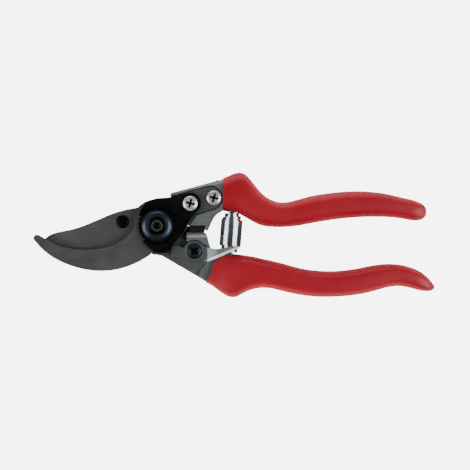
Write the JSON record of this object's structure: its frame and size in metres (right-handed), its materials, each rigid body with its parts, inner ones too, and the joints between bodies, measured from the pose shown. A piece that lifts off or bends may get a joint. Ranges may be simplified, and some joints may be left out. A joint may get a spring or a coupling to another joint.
{
  "type": "bypass pruner",
  "caption": "Hand pruner with a hooked jaw and a curved cutting blade on one pivot, red coated handles, a volute return spring and a thumb catch.",
  "frame": {"origin": "on the pivot axis, at the flat underside of the pivot bolt's head", "axes": "+X towards the handles along the length of the pruner, +Y across it towards the handle that carries the hook, +Z along the pivot axis towards the nut"},
  "size_m": [0.2096, 0.0654, 0.0206],
  "materials": {
    "forged_aluminium": "grainy matt",
    "coated_steel": "matt grey coating",
    "red_vinyl": "satin dipped vinyl",
    "blued_steel": "polished blue-black",
    "bright_steel": "bright zinc",
    "black_steel": "gloss black",
    "grey_steel": "satin",
    "spring_steel": "polished strip",
    "black_rubber": "matt",
    "bronze": "plain"
  },
  "bodies": {
    "lower": {"lower_handle": "forged_aluminium", "lower_grip": "red_vinyl", "cutting_blade": "coated_steel", "blade_rivet": "black_steel", "catch_screw": "blued_steel", "catch_washer": "spring_steel", "pivot_bush": "bronze", "lower_spring_pin": "grey_steel", "return_spring": "spring_steel"},
    "upper": {"upper_handle": "forged_aluminium", "upper_grip": "red_vinyl", "hook_blade": "coated_steel", "tang_screw": "bright_steel", "segment_screw": "bright_steel", "tang_nuts": "bright_steel", "locking_segment": "black_steel", "pivot_nut": "blued_steel", "pivot_bolt": "bright_steel", "thrust_washer": "bronze", "bumper": "black_rubber", "upper_spring_pin": "grey_steel"},
    "catch": {"thumb_catch": "grey_steel"}
  },
  "joints": [
    {"name": "main_pivot", "type": "hinge", "parent": "lower", "child": "upper", "pos_m": [0, 0, 0.012], "axis": [0, 0, 1], "range_deg": [0, 36], "stiffness_Nm_per_rad": 0.25, "springref_deg": 51.57, "deforming": ["return_spring"]},
    {"name": "catch_pivot", "type": "hinge", "parent": "lower", "child": "catch", "pos_m": [0.0194, -0.0132, 0.0137], "axis": [0, 0, 1], "range_deg": [-7.5, 0]}
  ]
}
